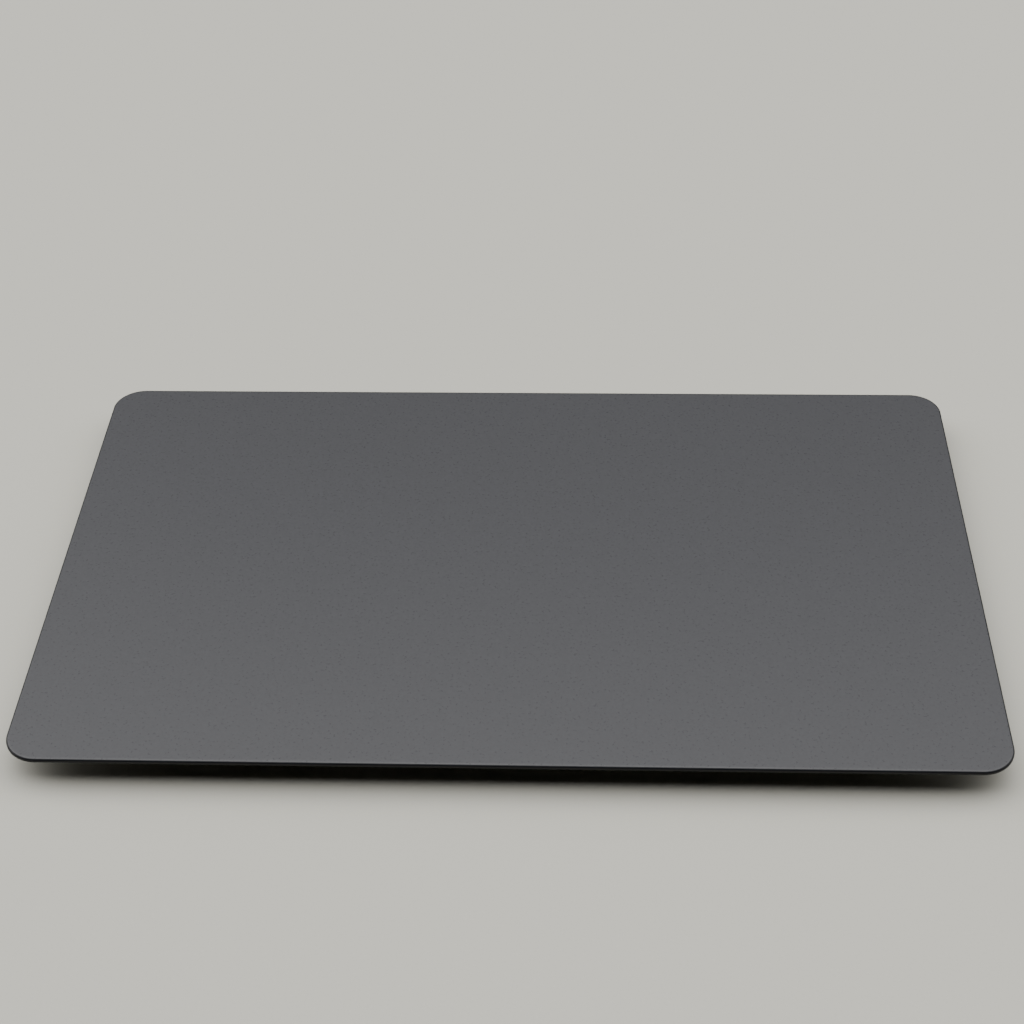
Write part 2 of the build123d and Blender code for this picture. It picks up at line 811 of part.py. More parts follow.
# Link tail: rises from the cross bar in an open loop and enters the flex socket from the back
link_foot_z = flex_top + flex_thickness / 2
link_loop_radius = (flex_slot_z - link_foot_z) / 2
link_loop_y = flex_socket_back_y + link_loop_reach
link_start_y = cross_bar_y - flex_width / 2
with BuildPart() as link_tail:
    with BuildSketch(Plane((flex_socket_x, 0, 0), x_dir=(0, 1, 0), z_dir=(1, 0, 0))):
        with BuildLine():
            Line((link_start_y, link_foot_z), (link_loop_y, link_foot_z))
            ThreePointArc(
                (link_loop_y, link_foot_z),
                (link_loop_y + link_loop_radius, link_foot_z + link_loop_radius),
                (link_loop_y, flex_slot_z),
            )
            Line((link_loop_y, flex_slot_z), (flex_socket_back_y - flex_slot_depth + seat_gap, flex_slot_z))
        trace(line_width=flex_thickness)
    extrude(amount=link_width / 2, both=True)
export(link_tail.part, "link_tail")

# Engine tray: one strip with two joggles, whose ears lie on the inner bars
tray_floor_z = tray_floor_gap + tray_thickness / 2
tray_ear_z = frame_thickness + tray_thickness / 2
with BuildPart() as engine_base:
    add(
        ribbon(
            tray_depth,
            tray_thickness,
            tray_bend_radius,
            Plane((0, tray_y, 0), x_dir=(1, 0, 0), z_dir=(0, -1, 0)),
            (-tray_ear_x, tray_ear_z),
            (-tray_web_x, tray_ear_z),
            (-tray_web_x, tray_floor_z),
            (tray_web_x, tray_floor_z),
            (tray_web_x, tray_ear_z),
            (tray_ear_x, tray_ear_z),
        )
    )
    with BuildSketch():
        with Locations((0, tray_y)):
            with GridLocations(2 * ear_screw_x, ear_screw_spacing_y, 2, 2):
                Circle(screw_shank_radius + seat_gap)
        with Locations((0, core_screw_y)):
            with GridLocations(pole_pitch, 0, pole_count - 1, 1):
                Circle(small_shank_radius + seat_gap)
    extrude(amount=cut_overrun, mode=Mode.SUBTRACT)
export(engine_base.part, "engine_base")

ear_screw = screw(
    Plane.XY.offset(tray_ear_top),
    tray_thickness + frame_thickness - seat_gap,
    screw_head_radius,
    screw_shank_radius,
    screw_recess_radius,
)
with BuildPart() as engine_screws:
    with Locations((0, tray_y)):
        with GridLocations(2 * ear_screw_x, ear_screw_spacing_y, 2, 2):
            add(ear_screw)
export(engine_screws.part, "engine_screws")

# Spacer under the yoke, which lifts the core to the middle of the coils
yoke_y = (yoke_front_y + yoke_back_y) / 2
with BuildPart() as core_spacer:
    with BuildSketch(Plane.XY.offset(tray_top)):
        with Locations((0, yoke_y)):
            Rectangle(core_width, yoke_width)
        with Locations((0, core_screw_y)):
            with GridLocations(pole_pitch, 0, pole_count - 1, 1):
                Circle(small_shank_radius + seat_gap, mode=Mode.SUBTRACT)
    extrude(amount=core_bottom - tray_top)
export(core_spacer.part, "core_spacer")

# Core: a comb of laminated iron, one yoke and a row of poles
with BuildPart() as engine_core:
    with BuildSketch(Plane.XY.offset(core_bottom)):
        with Locations((0, yoke_y)):
            Rectangle(core_width, yoke_width)
        with Locations((0, (pole_face_y + yoke_front_y) / 2)):
            with GridLocations(pole_pitch, 0, pole_count, 1):
                Rectangle(pole_width, pole_length)
        with Locations((0, core_screw_y)):
            with GridLocations(pole_pitch, 0, pole_count - 1, 1):
                Circle(small_shank_radius + seat_gap, mode=Mode.SUBTRACT)
    extrude(amount=core_thickness)
export(engine_core.part, "engine_core")

core_screw = screw(
    Plane.XY.offset(core_top),
    core_top - tray_floor_gap - seat_gap,
    small_head_radius,
    small_shank_radius,
    small_recess_radius,
)
with BuildPart() as core_screws:
    with Locations((0, core_screw_y)):
        with GridLocations(pole_pitch, 0, pole_count - 1, 1):
            add(core_screw)
export(core_screws.part, "core_screws")

# Bobbins and coils, one pair on each pole, wound about the pole's length
bobbin_back_y = yoke_front_y - bobbin_back_gap
bobbin_length = pole_length - bobbin_back_gap - bobbin_front_gap
tube_width = pole_width + 2 * (bobbin_clearance + bobbin_wall)
tube_height = core_thickness + 2 * (bobbin_clearance + bobbin_wall)
coil_width = tube_width + 2 * coil_build
coil_height = tube_height + 2 * coil_build
for index in range(pole_count):
    pole_x = (index - (pole_count - 1) / 2) * pole_pitch
    back_plane = Plane((pole_x, bobbin_back_y, core_middle), x_dir=(1, 0, 0), z_dir=(0, -1, 0))

    with BuildPart() as bobbin:
        with BuildSketch(back_plane):
            Rectangle(tube_width, tube_height)
        extrude(amount=bobbin_length)
        with BuildSketch(back_plane, back_plane.offset(bobbin_length - bobbin_flange)):
            RectangleRounded(coil_width, coil_height, coil_corner_radius)
        extrude(amount=bobbin_flange)
        with BuildSketch(back_plane):
            Rectangle(pole_width + 2 * bobbin_clearance, core_thickness + 2 * bobbin_clearance)
        extrude(amount=bobbin_length, mode=Mode.SUBTRACT)
    export(bobbin.part, f"bobbin_{index + 1}")

    with BuildPart() as coil:
        with BuildSketch(back_plane.offset(bobbin_flange)):
            RectangleRounded(coil_width, coil_height, coil_corner_radius)
            Rectangle(tube_width, tube_height, mode=Mode.SUBTRACT)
        extrude(amount=bobbin_length - 2 * bobbin_flange)
    export(coil.part, f"coil_{index + 1}")

# Coil flex: lies on the yoke and steps down over the tray's ear to the frame's flex
coil_flex_y = yoke_front_y + coil_flex_inset
coil_flex_z = core_top + coil_flex_thickness / 2
coil_flex_ear_z = tray_ear_top + seat_gap + coil_flex_thickness / 2
coil_flex_foot_z = flex_top + coil_flex_thickness / 2
coil_flex_drop_x = core_width / 2 + coil_flex_reach
coil_flex_foot_x = tray_ear_x + flex_edge_margin
with BuildPart() as coil_flex:
    add(
        ribbon(
            coil_flex_width,
            coil_flex_thickness,
            coil_flex_bend_radius,
            Plane((0, coil_flex_y, 0), x_dir=(1, 0, 0), z_dir=(0, -1, 0)),
            (-core_width / 2, coil_flex_z),
            (coil_flex_drop_x, coil_flex_z),
            (coil_flex_drop_x, coil_flex_ear_z),
            (coil_flex_foot_x, coil_flex_ear_z),
            (coil_flex_foot_x, coil_flex_foot_z),
            (flex_x + flex_width / 2, coil_flex_foot_z),
        )
    )
export(coil_flex.part, "coil_flex")

# Rubber stops, pushed into the side bars, one stop gap below the plate's lowest place
stop_top = stiffener_bottom - press_travel - stop_gap
stop = turned(
    (0, seat_gap),
    (stop_stem_radius, seat_gap),
    (stop_stem_radius, frame_thickness),
    (stop_radius, frame_thickness),
    (stop_radius, stop_top - stop_taper_height),
    (stop_tip_radius, stop_top),
    (0, stop_top),
)
with BuildPart() as press_stops:
    with GridLocations(2 * stop_x, stop_spacing_y, 2, 2):
        add(stop)
export(press_stops.part, "press_stops")

overall_height = glass_bottom + glass_thickness
least_pole_gap = pole_gap - shift_travel
print(f"overall {plate_width} x {plate_depth} x {overall_height:.2f}, pole gap {least_pole_gap:.2f} at least")
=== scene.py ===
from math import cos, pi, sin

import bmesh
import bpy
import numpy as np
from mathutils import Matrix, Vector


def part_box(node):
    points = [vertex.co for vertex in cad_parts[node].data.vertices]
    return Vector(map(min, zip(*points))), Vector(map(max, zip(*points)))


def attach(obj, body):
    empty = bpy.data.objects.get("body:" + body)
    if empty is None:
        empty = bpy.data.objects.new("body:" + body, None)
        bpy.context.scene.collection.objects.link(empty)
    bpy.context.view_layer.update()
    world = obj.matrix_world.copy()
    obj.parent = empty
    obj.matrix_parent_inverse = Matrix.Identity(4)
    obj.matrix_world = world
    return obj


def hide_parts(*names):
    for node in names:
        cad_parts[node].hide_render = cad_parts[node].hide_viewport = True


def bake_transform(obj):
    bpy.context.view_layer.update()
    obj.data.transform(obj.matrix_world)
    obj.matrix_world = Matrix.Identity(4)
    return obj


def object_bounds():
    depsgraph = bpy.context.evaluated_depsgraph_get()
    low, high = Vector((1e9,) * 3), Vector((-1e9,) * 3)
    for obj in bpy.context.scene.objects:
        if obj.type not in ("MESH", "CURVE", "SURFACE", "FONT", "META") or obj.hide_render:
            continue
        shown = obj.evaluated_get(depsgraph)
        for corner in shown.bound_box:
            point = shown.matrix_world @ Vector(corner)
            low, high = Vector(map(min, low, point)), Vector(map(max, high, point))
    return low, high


bl_info = {
    "name": "Haptic Trackpad Module",
    "version": (1, 0, 0),
    "blender": (4, 5, 0),
    "location": "View3D > Sidebar > Trackpad",
    "description": "Finishes, soft pieces, windings and studio for a laptop trackpad module",
    "category": "Object",
}

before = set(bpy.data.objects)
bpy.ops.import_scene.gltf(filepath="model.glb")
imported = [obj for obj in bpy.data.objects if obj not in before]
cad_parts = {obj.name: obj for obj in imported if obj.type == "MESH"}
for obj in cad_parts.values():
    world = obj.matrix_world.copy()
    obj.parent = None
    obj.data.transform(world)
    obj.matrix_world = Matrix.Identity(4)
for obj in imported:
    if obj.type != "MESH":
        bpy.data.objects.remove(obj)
cad_low, cad_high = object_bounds()

MM = 0.001
CORNERS = ("front_left", "front_right", "back_left", "back_right")
POLES = range(1, 5)
GLASS_LOW, GLASS_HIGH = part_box("cover_glass")
GLASS_CORNER = 5.6 * MM

# How finely the pieces are cut
PLATE_TURN_SEGMENTS = 20
GLASS_EDGE_STEPS = 8
GLASS_ROLL_STEPS = 6
GEL_SEGMENTS = 72
GEL_STEPS = 10
COIL_TURN_SEGMENTS = 5
COIL_CROSSING_STEPS = 10
COIL_RIDGE_STEPS = 6
SHARP_ANGLE = 40 * pi / 180

# Points of a CAD mesh closer than this are one, and a cut this close to a point goes through it
JOIN_REACH = 0.0005 * MM
CUT_REACH = 0.001 * MM

# The glass's flat faces begin this many roll widths in from the ground edge
FLAT_START = 1.5

# The part of a noise's range that is stretched from 0 to 1
NOISE_LOW, NOISE_HIGH = 0.3, 0.7

# Half the width over which a stripe fades out, as a share of the pitch
STRIPE_FADE = 0.06

# Out from the middle, where the tracks of the frame's flex turn from running left and right to
# running to the front and back
SIDE_RUN_START, SIDE_RUN_END = 36.6 * MM, 36.8 * MM

FLOOR_GAP = 0.02 * MM
SENSOR_WIDTH = 36.0
CLIP_START = 10 * MM

# The tent's light by the direction's lean, its part to the back, its part to the right, that
# part's size, and its part upwards: two values of it, and the share of the light at each
LEAN_SHARES = (0.07, 0.26, 0.0, 1.0)
BACK_SHARES = (0.535, 0.79, 1.0, 0.05)
RIGHT_SHARES = (-1.0, 1.0, 1.2, 0.8)
ASIDE_SHARES = (0.03, 0.3, 1.0, 0.78)
UP_SHARES = (0.05, 0.4, 0.3, 1.0)


def linear(colour):
    """The sRGB hex colour as linear red, green, blue and alpha."""
    parts = [int(colour[place:place + 2], 16) / 255 for place in (1, 3, 5)]
    red_green_blue = (c / 12.92 if c <= 0.04045 else ((c + 0.055) / 1.055) ** 2.4 for c in parts)
    return (*red_green_blue, 1.0)


def colour_property(name, description, default):
    """A colour that a user can change, from its sRGB hex default."""
    return bpy.props.FloatVectorProperty(
        name=name, description=description, subtype="COLOR", size=4, min=0, max=1,
        default=linear(default),
    )


def length_property(name, description, millimetres):
    """A length that a user can change, from its default in millimetres."""
    return bpy.props.FloatProperty(
        name=name, description=description, unit="LENGTH", precision=6, min=0,
        default=millimetres * MM,
    )


def angle_property(name, description, degrees):
    """An angle that a user can change, from its default in degrees."""
    return bpy.props.FloatProperty(
        name=name, description=description, subtype="ANGLE", unit="ROTATION",
        default=degrees * pi / 180,
    )


class TrackpadGlass(bpy.types.PropertyGroup):
    """Sizes and colours of the cover glass."""

    edge_radius: length_property("Edge radius", "Radius of the ground edge, top and bottom", 0.25)
    roll_width: length_property(
        "Roll width", "Width over which the etched face rolls down to the edge", 0.3
    )
    roll_drop: length_property("Roll drop", "Depth that the etched face rolls down by", 0.03)
    etch_grain: length_property("Etch grain", "Width of the largest pits of the etched face", 0.5)
    etch_relief: length_property("Etch relief", "Depth of the etched pits", 0.0014)
    etch_dark: colour_property(
        "Etch dark", "Colour of the etched face in its darker grain", "#414246"
    )
    etch_light: colour_property(
        "Etch light", "Colour of the etched face in its lighter grain", "#494a4e"
    )
    edge_dark: colour_property("Edge", "Colour of the ground edge over the ink", "#090b11")


class TrackpadSoft(bpy.types.PropertyGroup):
    """Sizes of the soft and wound pieces."""

    gel_bulge: length_property("Gel bulge", "How far a gel pad swells at its waist", 0.12)
    wire_width: length_property("Wire width", "Width of the coil wire with its enamel", 0.2)
    coil_build: length_property("Coil build", "Thickness of the winding on its bobbin", 0.4)
    coil_corner: length_property("Coil corner", "Radius of the winding's outer corners", 0.35)
    bore_corner: length_property(
        "Bore corner", "Radius of the winding's corners at the bobbin", 0.05
    )
    tail_slack: length_property(
        "Tail slack", "Room that the tail's end leaves for the plate's shift", 0.24
    )
    neck_start: length_property(
        "Neck start", "Where a spring starts to bend, out from the middle", 50
    )
    neck_end: length_property("Neck end", "Where a spring stops bending, out from the middle", 57)
    neck_cuts: bpy.props.IntProperty(
        name="Neck cuts", description="Cuts across a spring's neck, where it bends", min=4,
        default=12,
    )


class TrackpadStudio(bpy.types.PropertyGroup):
    """Camera, floor and light."""

    camera_place: bpy.props.FloatVectorProperty(
        name="Camera place", description="Where the camera stands", subtype="TRANSLATION",
        unit="LENGTH", default=(0.01385, -0.26083, 0.23039),
    )
    camera_azimuth: angle_property("Azimuth", "Turn of the view from straight ahead", -3.118)
    camera_elevation: angle_property("Elevation", "Height of the view above the floor", 39.383)
    camera_roll: angle_property("Roll", "Roll of the camera", -1.516)
    lens: bpy.props.FloatProperty(
        name="Lens", description="Focal length", unit="CAMERA", default=68.85
    )
    floor_size: length_property("Floor size", "Side of the square floor", 4000)
    floor_colour: colour_property("Floor", "Colour of the floor", "#cecdc4")
    tent_colour: colour_property("Tent", "Colour of the light tent", "#dbdad8")
    tent_strength: bpy.props.FloatProperty(
        name="Tent strength", description="Light of the tent", default=4.2
    )
    wall_strength: bpy.props.FloatProperty(
        name="Wall strength", description="How light the tent looks to the camera", default=1.2
    )
    front_lean: bpy.props.FloatProperty(
        name="Front lean", description="How far the tent reaches over to the front, as the tangent",
        default=0.56,
    )


def add_node(tree, kind, inputs=None, **settings):
    """Add a node, set its properties, and give its inputs values or links."""
    made = tree.nodes.new(kind)
    for key, value in settings.items():
        setattr(made, key, value)
    for socket, value in (inputs or {}).items():
        if isinstance(value, bpy.types.NodeSocket):
            tree.links.new(value, made.inputs[socket])
        else:
            made.inputs[socket].default_value = value
    return made


class Finish:
    """A material in the making: its tree, its shader and its place in metres.

    Its patterns are sockets whose value runs from 0 to 1, and lengths are in mm.
    """

    def __init__(
        self, name, dark, light, roughness, grain, relief=0.0, stretch=(1, 1, 1), **sockets
    ):
        """Colour and roughness run between their two values with a grain, which the relief
        raises. The other sockets are the shader's own, with _ for each space."""
        self.material = bpy.data.materials.new(name)
        self.material.use_nodes = True
        self.tree = self.material.node_tree
        self.shader = self.tree.nodes["Principled BSDF"]
        self.place = add_node(self.tree, "ShaderNodeTexCoord").outputs["Object"]
        self.x, self.y, self.z = add_node(
            self.tree, "ShaderNodeSeparateXYZ", {0: self.place}
        ).outputs
        self.colour = dark
        self.normal = None
        patches = self.grain(grain, stretch)
        self.paint(patches, light)
        rough = add_node(
            self.tree, "ShaderNodeMapRange",
            {"Value": patches, "To Min": roughness[0], "To Max": roughness[1]},
        )
        self.tree.links.new(rough.outputs[0], self.shader.inputs["Roughness"])
        if relief:
            self.raise_by(patches, relief)
        for socket, value in sockets.items():
            self.shader.inputs[socket.replace("_", " ")].default_value = value

    def grain(self, width, stretch=(1, 1, 1), start=0.0, full=1.0, share=1.0):
        """Soft patches of a noise, that wide and so many times longer along each axis. They run
        from 0 to the share while the noise goes from the start to the full, which are themselves
        shares of its range."""
        mapped = add_node(
            self.tree, "ShaderNodeMapping",
            {"Vector": self.place, "Scale": [1 / (width * MM * longer) for longer in stretch]},
        ).outputs[0]
        noise = add_node(
            self.tree, "ShaderNodeTexNoise",
            {"Vector": mapped, "Scale": 1.0, "Detail": 3.0, "Roughness": 0.55},
        ).outputs[0]
        ends = [NOISE_LOW + (NOISE_HIGH - NOISE_LOW) * end for end in (start, full)]
        return add_node(
            self.tree, "ShaderNodeMapRange",
            {"Value": noise, "From Min": ends[0], "From Max": ends[1], "To Max": share},
        ).outputs[0]

    def stripes(self, along, pitch, share=0.5, start=0.0):
        """Stripes across a coordinate, that pitch apart: 1 on a share of the pitch and 0 round
        the start, which is in metres, and round each full pitch from it."""
        turns = add_node(
            self.tree, "ShaderNodeMath",
            {0: along, 1: 1 / (pitch * MM), 2: -start / (pitch * MM)}, operation="MULTIPLY_ADD",
        ).outputs[0]
        saw = add_node(
            self.tree, "ShaderNodeMath", {0: turns, 1: 0.5}, operation="PINGPONG"
        ).outputs[0]
        edge = (1 - share) / 2
        return add_node(
            self.tree, "ShaderNodeMapRange",
            {"Value": saw, "From Min": edge - STRIPE_FADE, "From Max": edge + STRIPE_FADE},
        ).outputs[0]

    def rings(self, x, y, pitch):
        """Turned rings about the four points that lie that far from the middle, in metres."""
        mirrored = add_node(
            self.tree, "ShaderNodeVectorMath", {0: self.place}, operation="ABSOLUTE"
        ).outputs[0]
        flat = add_node(
            self.tree, "ShaderNodeMapping",
            {"Vector": mirrored, "Location": (-x, -y, 0), "Scale": (1, 1, 0)},
        ).outputs[0]
        distance = add_node(
            self.tree, "ShaderNodeVectorMath", {0: flat}, operation="LENGTH"
        ).outputs["Value"]
        return self.stripes(distance, pitch)

    def paint(self, share, colour):
        """Lay a colour over the finish by a pattern."""
        # Inputs 6 and 7 and output 2 are the ones of a Mix node that hold colours
        self.colour = add_node(
            self.tree, "ShaderNodeMix", {0: share, 6: self.colour, 7: colour}, data_type="RGBA"
        ).outputs[2]
        self.tree.links.new(self.colour, self.shader.inputs["Base Color"])

    def raise_by(self, height, relief):
        """Raise the surface by the relief where a pattern is 1, on top of what is raised."""
        inputs = {"Height": height, "Distance": relief * MM, "Strength": 1.0}
        if self.normal is not None:
            inputs["Normal"] = self.normal
        self.normal = add_node(self.tree, "ShaderNodeBump", inputs).outputs[0]
        self.tree.links.new(self.normal, self.shader.inputs["Normal"])


def etched_glass():
    """Aluminosilicate glass, acid-etched: pits of a few hundredths of a millimetre scatter the
    light, which makes a soft dark satin with a faint mottle. The pits are drawn ten times as wide
    as they are, so that they show."""
    glass = bpy.context.scene.trackpad_glass
    made = Finish(
        "etched_aluminosilicate_glass", glass.etch_dark, glass.etch_light, roughness=(0.27, 0.3),
        grain=glass.etch_grain / MM, relief=glass.etch_relief / MM, IOR=1.5,
    )
    made.raise_by(made.grain(width=0.25), relief=0.0004)
    return made.material


def ground_edge():
    """The same glass, ground with a fine wheel and left clear: the black ink shows through it, so
    it looks nearly black with a cold gloss, and the wheel leaves faint lines along the edge."""
    glass = bpy.context.scene.trackpad_glass
    return Finish(
        "ground_glass_edge", glass.edge_dark, linear("#0f1118"), roughness=(0.3, 0.4), grain=0.3,
        relief=0.001, stretch=(6, 6, 0.4), IOR=1.5, Specular_IOR_Level=0.2,
    ).material


def screen_ink():
    """Ceramic ink, screen-printed under the glass: matt black with the mesh's fine weave."""
    made = Finish(
        "screen_printed_ceramic_ink", linear("#0b0b0c"), linear("#121213"), roughness=(0.7, 0.85),
        grain=0.5,
    )
    for along in (made.x, made.y):
        made.raise_by(made.stripes(along, pitch=0.14), relief=0.002)
    return made.material


def adhesive_sheet():
    """Acrylic transfer adhesive, tinted black: rubbery, with small bubbles at the cut edge."""
    return Finish(
        "laminated_black_acrylic_adhesive", linear("#1f1f1e"), linear("#2e2e2c"),
        roughness=(0.35, 0.5), grain=0.4, relief=0.01, Subsurface_Weight=0.1,
        Subsurface_Scale=0.0004,
    ).material


def board_mask():
    """Glass-fibre laminate under black solder mask: a smooth gloss with copper tracks standing up
    under it, and brown fibre layers where its edge is routed. The mask is drawn as a skin of
    0.02 mm on both faces, which fades out over as much again."""
    low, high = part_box("sensor_board")
    skin = 0.02 * MM
    made = Finish(
        "black_masked_laminate", linear("#0d100f"), linear("#151918"), roughness=(0.28, 0.38),
        grain=3.0,
    )
    lines = made.stripes(made.y, pitch=0.5, share=0.4)
    runs = made.grain(width=9, stretch=(6, 1, 1))
    tracks = add_node(
        made.tree, "ShaderNodeMath", {0: lines, 1: runs}, operation="MULTIPLY"
    ).outputs[0]
    made.raise_by(tracks, relief=0.03)
    from_middle = add_node(
        made.tree, "ShaderNodeMath", {0: made.z, 1: (low.z + high.z) / 2}, operation="SUBTRACT"
    ).outputs[0]
    depth = add_node(
        made.tree, "ShaderNodeMath", {0: from_middle}, operation="ABSOLUTE"
    ).outputs[0]
    half = (high.z - low.z) / 2
    inside = add_node(
        made.tree, "ShaderNodeMapRange",
        {"Value": depth, "From Min": half - skin, "From Max": half - 2 * skin},
    ).outputs[0]
    layers = add_node(
        made.tree, "ShaderNodeMath",
        {0: inside, 1: made.stripes(made.z, pitch=0.16, share=0.35)}, operation="MULTIPLY",
    ).outputs[0]
    made.paint(inside, linear("#5a4c2c"))
    made.paint(layers, linear("#2e2719"))
    return made.material


def rolled_metal(name, dark, light, roughness, stretch, relief=0.002, grain=0.12):
    """A metal strip whose rolling lines run along the axis that is stretched most, with wide dull
    clouds."""
    made = Finish(
        name, linear(dark), linear(light), roughness, grain, relief, stretch, Metallic=1.0
    )
    made.paint(made.grain(width=7.0, share=0.3), linear(dark))
    return made


def stainless_sheet():
    """Stainless sheet, cold-rolled: pale grey with faint straight rolling lines."""
    return rolled_metal(
        "cold_rolled_stainless_sheet", "#8f8e8a", "#a8a7a3", roughness=(0.3, 0.42),
        stretch=(30, 1, 1),
    ).material


def frame_steel():
    """Low-carbon steel, pressed and nickel-plated dull: even warm grey, softer at the bends."""
    return rolled_metal(
        "pressed_nickel_plated_steel", "#7f7d78", "#989691", roughness=(0.38, 0.5),
        stretch=(18, 1, 1), relief=0.003,
    ).material


def spring_steel():
    """Spring strip, tempered: straw tint and fine grinding lines across its length."""
    return rolled_metal(
        "tempered_spring_strip", "#97907f", "#b1aa98", roughness=(0.24, 0.34), stretch=(1, 24, 1)
    ).material


def turned_steel():
    """Steel, turned and zinc-plated: bright with fine rings from the lathe."""
    made = rolled_metal(
        "turned_zinc_plated_steel", "#a09f9a", "#bab9b5", roughness=(0.26, 0.36), stretch=(6, 6, 1),
        relief=0.001,
    )
    made.raise_by(made.stripes(made.z, pitch=0.12), relief=0.002)
    return made.material


def plated_iron():
    """Soft iron rail, nickel-plated without current: a yellowish even satin."""
    return rolled_metal(
        "nickel_plated_soft_iron", "#938d7e", "#a9a394", roughness=(0.3, 0.4), stretch=(20, 1, 1)
    ).material


def laminated_iron():
    """Silicon iron, stamped and stacked: grey-blue oxide, with the sheets' lines on its edges."""
    made = Finish(
        "stacked_silicon_iron", linear("#3b3f45"), linear("#4d5157"), roughness=(0.42, 0.55),
        grain=0.25, relief=0.002, Metallic=1.0,
    )
    made.raise_by(made.stripes(made.z, pitch=0.2, share=0.3), relief=-0.01)
    return made.material


def blackened_screw():
    """Screw steel, cold-headed and blackened: dark with a dull oily gloss."""
    return Finish(
        "cold_headed_blackened_steel", linear("#1d1d20"), linear("#2b2b2f"), roughness=(0.36, 0.5),
        grain=0.2, relief=0.002, Metallic=1.0,
    ).material


def chip_epoxy():
    """Epoxy moulding compound, transfer-moulded: charcoal black with pale filler specks and a
    spark-eroded matt."""
    made = Finish(
        "transfer_moulded_epoxy", linear("#161617"), linear("#202021"), roughness=(0.62, 0.75),
        grain=0.09, relief=0.004,
    )
    made.paint(made.grain(width=0.18, start=0.82, full=0.95, share=0.5), linear("#3a3a3b"))
    return made.material


def lid_metal():
    """Nickel-silver lid, drawn and brushed: pale, warm and finely lined."""
    return rolled_metal(
        "brushed_nickel_silver_lid", "#aaa58f", "#bfbaa6", roughness=(0.25, 0.36),
        stretch=(14, 1, 1), relief=0.001,
    ).material


def tinned_sheet():
    """Tinned steel can, drawn: bright grey with cloudy patches from reflow."""
    made = rolled_metal(
        "drawn_tinned_steel", "#9c9b98", "#b9b8b5", roughness=(0.24, 0.4), stretch=(3, 1, 1),
        relief=0.002, grain=0.5,
    )
    made.paint(made.grain(width=1.6, share=0.35), linear("#85848a"))
    return made.material


def capacitor_ceramic():
    """Barium-titanate chips, fired: tan bodies, with tinned caps at both ends. The chips stand
    2.6 mm apart in rows to the left and right of the middle, 1.6 mm long with caps of 0.3 mm."""
    pitch, chip_length, cap_length = 2.6, 1.6, 0.3
    last_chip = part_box("passive_components")[1].x - chip_length / 2 * MM
    made = Finish(
        "fired_titanate_ceramic", linear("#76573b"), linear("#8b6a4a"), roughness=(0.45, 0.6),
        grain=0.12, relief=0.003,
    )
    aside = add_node(made.tree, "ShaderNodeMath", {0: made.x}, operation="ABSOLUTE").outputs[0]
    share = (pitch - chip_length + 2 * cap_length) / pitch
    caps = made.stripes(aside, pitch, share, start=last_chip)
    made.paint(caps, linear("#b4b4b0"))
    return made.material


def socket_polymer():
    """Liquid-crystal polymer, injection-moulded: ivory with pale flow lines."""
    return Finish(
        "moulded_liquid_crystal_polymer", linear("#b9af97"), linear("#cdc4ae"),
        roughness=(0.45, 0.58), grain=0.5, relief=0.002, stretch=(8, 1, 1),
    ).material


def latch_polymer():
    """The latch's polyamide, injection-moulded black, with a fine satin grain."""
    return Finish(
        "moulded_black_polyamide", linear("#141415"), linear("#1f1f20"), roughness=(0.42, 0.55),
        grain=0.08, relief=0.003,
    ).material


def contact_gold():
    """Phosphor bronze, stamped and flashed with gold: bright yellow with the die's fine lines."""
    return rolled_metal(
        "gold_flashed_bronze", "#b8892f", "#d7a94d", roughness=(0.22, 0.32), stretch=(1, 10, 1),
        relief=0.001, grain=0.08,
    ).material


def glass_filled_moulding():
    """Glass-filled polyamide, injection-moulded: black, with short fibres that shimmer at the
    skin."""
    made = Finish(
        "moulded_glass_filled_polyamide", linear("#151516"), linear("#1e1e1f"),
        roughness=(0.5, 0.65), grain=0.15, relief=0.003,
    )
    made.paint(
        made.grain(width=0.09, stretch=(7, 1, 1), start=0.8, full=0.95, share=0.6),
        linear("#3b3b3c"),
    )
    return made.material


def enamelled_copper():
    """Copper wire, drawn and enamelled: red-amber under a clear gloss that varies a little from
    turn to turn."""
    return Finish(
        "drawn_enamelled_copper", linear("#8a4a22"), linear("#a85f2e"), roughness=(0.2, 0.3),
        grain=0.4, stretch=(4, 0.4, 4), Metallic=1.0, Coat_Weight=0.6, Coat_Roughness=0.12,
    ).material


def polyimide(name, pitch, tracks_along):
    """Polyimide film, laminated over copper tracks: clear amber, lighter and raised where a track
    runs under it. The tracks run along X or Y. On the frame's flex they run along X in the middle
    and along Y at both sides."""
    made = Finish(
        name, linear("#6d3f12"), linear("#7e4c18"), roughness=(0.3, 0.42), grain=0.6, relief=0.002
    )
    if tracks_along == "both":
        aside = add_node(made.tree, "ShaderNodeMath", {0: made.x}, operation="ABSOLUTE").outputs[0]
        at_side = add_node(
            made.tree, "ShaderNodeMapRange",
            {"Value": aside, "From Min": SIDE_RUN_START, "From Max": SIDE_RUN_END},
        ).outputs[0]
        # Inputs 2 and 3 are the ones of a Mix node that hold numbers
        tracks = add_node(
            made.tree, "ShaderNodeMix",
            {0: at_side, 2: made.stripes(made.y, pitch), 3: made.stripes(made.x, pitch)},
        ).outputs[0]
    else:
        tracks = made.stripes(made.y if tracks_along == "X" else made.x, pitch)
    made.paint(tracks, linear("#a8672a"))
    made.raise_by(tracks, relief=0.012)
    return made.material


def gauge_film():
    """Constantan foil, etched to a grid on polyimide: fine silvery lines in an amber film."""
    made = Finish(
        "etched_constantan_foil", linear("#8a5c26"), linear("#9a6b31"), roughness=(0.3, 0.42),
        grain=0.4, relief=0.001,
    )
    lines = made.stripes(made.y, pitch=0.24)
    made.paint(lines, linear("#a9a08c"))
    made.raise_by(lines, relief=0.005)
    return made.material


